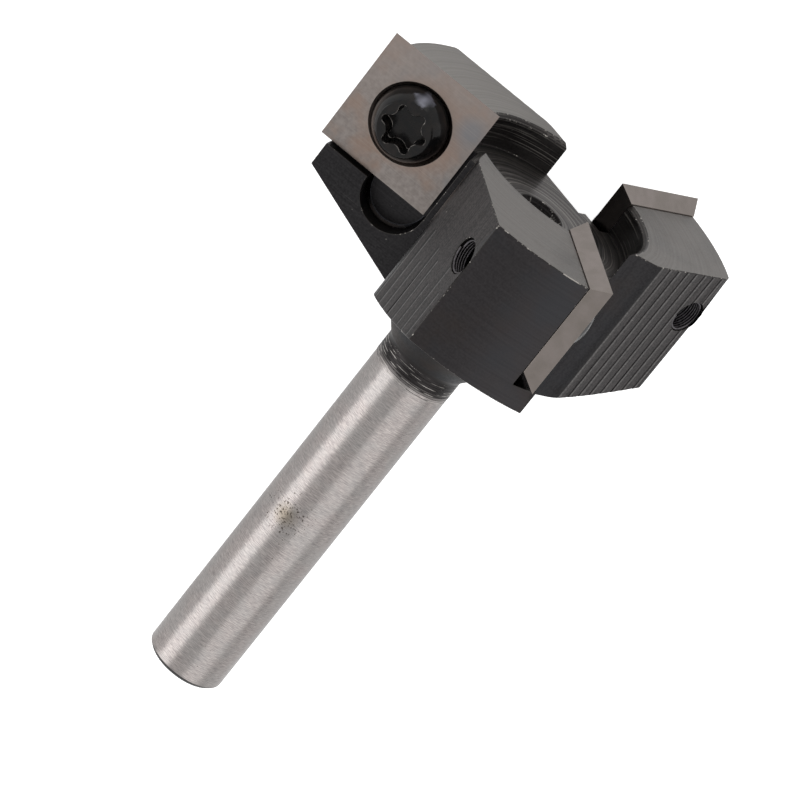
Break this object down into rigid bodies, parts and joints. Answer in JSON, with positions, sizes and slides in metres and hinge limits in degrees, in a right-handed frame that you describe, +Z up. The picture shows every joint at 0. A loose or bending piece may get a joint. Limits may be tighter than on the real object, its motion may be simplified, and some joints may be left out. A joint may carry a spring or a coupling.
{
  "type": "surfacing router bit",
  "caption": "Router bit for levelling wood: a three-armed steel head with screwed-on square carbide inserts on a plain shank.",
  "frame": {"origin": "on the bench, under the middle of the bit's own box as it lies", "axes": "+Z up from the bench; +X towards the cutting end, along the longest extent; the tool axis climbs 12.3 degrees from +X"},
  "size_m": [0.0646, 0.0382, 0.036],
  "materials": {
    "black_steel": "black oxide on steel, ground bright at the shank",
    "carbide": "ground tungsten carbide",
    "screw_steel": "glossy black oxide"
  },
  "bodies": {
    "root": {"cutter_body": "black_steel", "insert_1": "carbide", "insert_2": "carbide", "insert_3": "carbide", "insert_screw_1": "screw_steel", "insert_screw_2": "screw_steel", "insert_screw_3": "screw_steel"}
  },
  "joints": []
}
